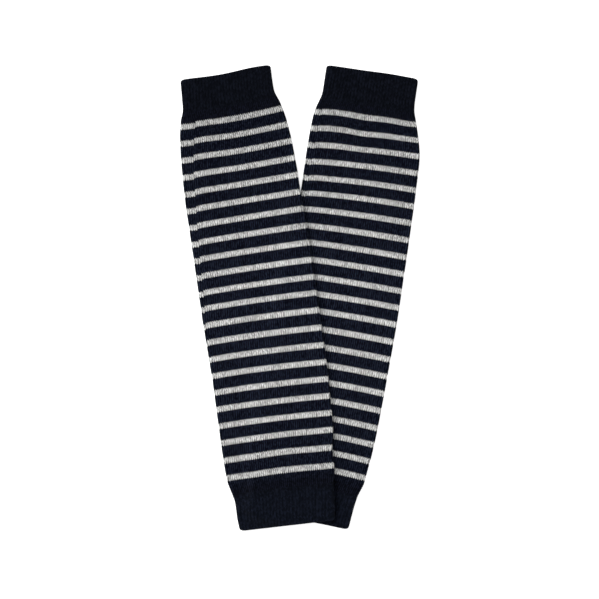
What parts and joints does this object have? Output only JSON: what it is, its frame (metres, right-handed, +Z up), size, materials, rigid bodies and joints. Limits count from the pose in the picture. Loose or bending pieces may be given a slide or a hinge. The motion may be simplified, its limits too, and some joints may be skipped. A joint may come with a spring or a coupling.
{
  "type": "pair of leg warmers",
  "caption": "Pair of striped knitted leg warmers with ribbed cuffs, laid flat, one lying partly on the other at the ankles.",
  "frame": {"origin": "centre of the laid-out pair's footprint, on the surface that it lies on", "axes": "+Y towards the thigh hems, along the longest side; +X to the right as seen from above; +Z up, out of the surface"},
  "size_m": [0.1622, 0.3168, 0.0111],
  "materials": {
    "navy_rib": "matte navy rib knit",
    "striped_knit": "matte plain knit, navy with 22 narrow light grey stripes"
  },
  "bodies": {
    "root": {"left_top_cuff": "navy_rib", "left_leg": "striped_knit", "left_bottom_cuff": "navy_rib", "right_top_cuff": "navy_rib", "right_leg": "striped_knit", "right_bottom_cuff": "navy_rib"}
  },
  "joints": []
}
